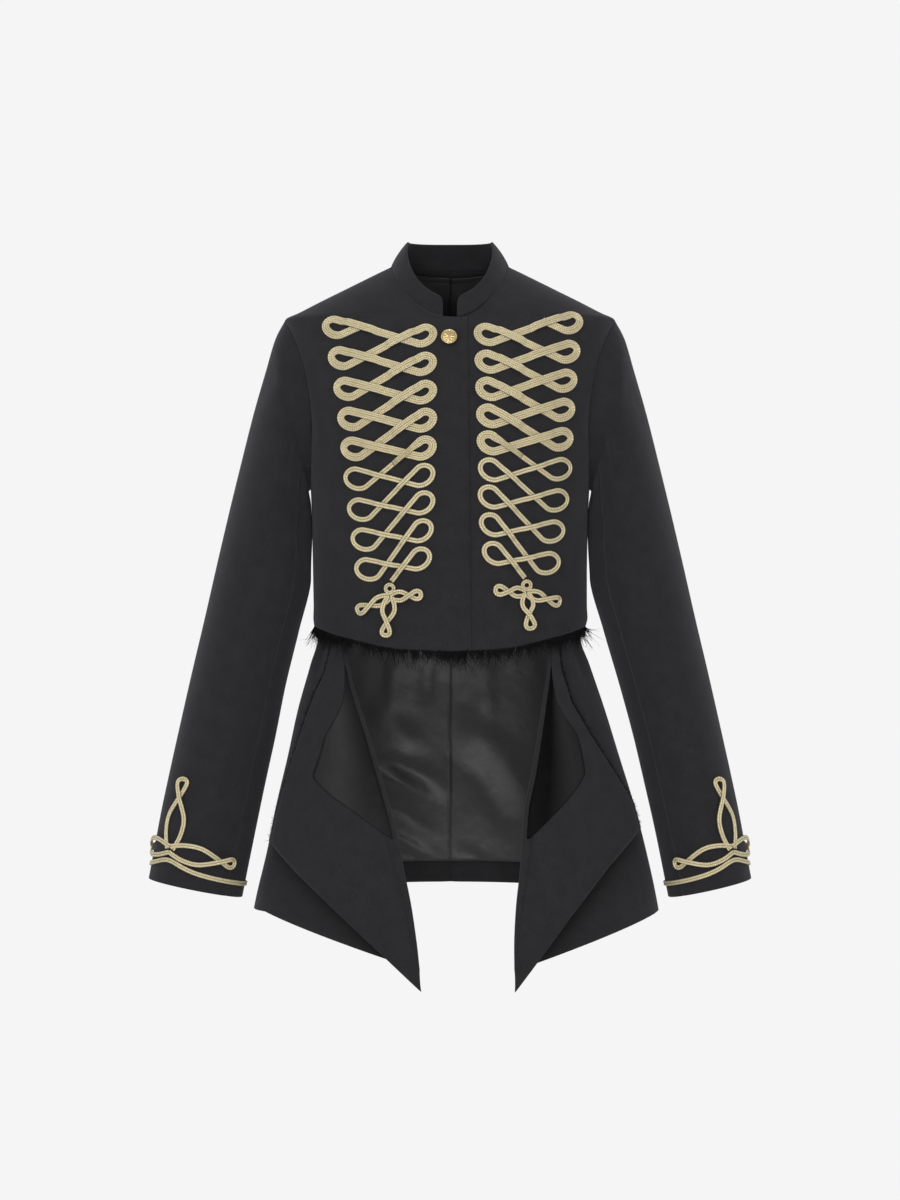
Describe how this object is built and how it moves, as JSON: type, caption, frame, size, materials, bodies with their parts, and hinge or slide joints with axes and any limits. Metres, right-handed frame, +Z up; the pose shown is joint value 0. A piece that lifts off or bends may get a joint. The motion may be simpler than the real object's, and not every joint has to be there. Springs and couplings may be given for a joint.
{
  "type": "frogged jacket",
  "caption": "Cropped wool military jacket with a stand collar, braid frogging, knotted cuffs, frayed hems and folded-back tails, shown worn and hollow",
  "frame": {"origin": "the middle of the neck, level with the tops of the shoulders, where the wearer holds the jacket up", "axes": "+Z up the body, the front faces -Y, +X to the wearer's left"},
  "size_m": [0.6798, 0.2537, 0.8376],
  "materials": {
    "wool": "matt charcoal wool",
    "satin": "black satin lining",
    "braid": "pale metallic gold soutache",
    "brass": "satin gold"
  },
  "bodies": {
    "root": {"front_right": "wool", "back_right": "wool", "sleeve_upper_right": "wool", "sleeve_under_right": "wool", "front_left": "wool", "back_left": "wool", "sleeve_upper_left": "wool", "sleeve_under_left": "wool", "lining_back": "satin", "collar": "wool", "tail_right": "wool", "tail_facing_right": "wool", "tail_lining_right": "satin", "tail_underlining_right": "satin", "tail_left": "wool", "tail_facing_left": "wool", "tail_lining_left": "satin", "tail_underlining_left": "satin", "braid_double_right": "braid", "braid_single_right": "braid", "braid_knot_right": "braid", "cuff_knot_right": "braid", "cuff_band_right": "braid", "braid_double_left": "braid", "braid_single_left": "braid", "braid_knot_left": "braid", "cuff_knot_left": "braid", "cuff_band_left": "braid", "button": "brass", "fray_front_right": "wool", "fray_tail_right": "wool", "fray_front_left": "wool", "fray_tail_left": "wool"}
  },
  "joints": []
}
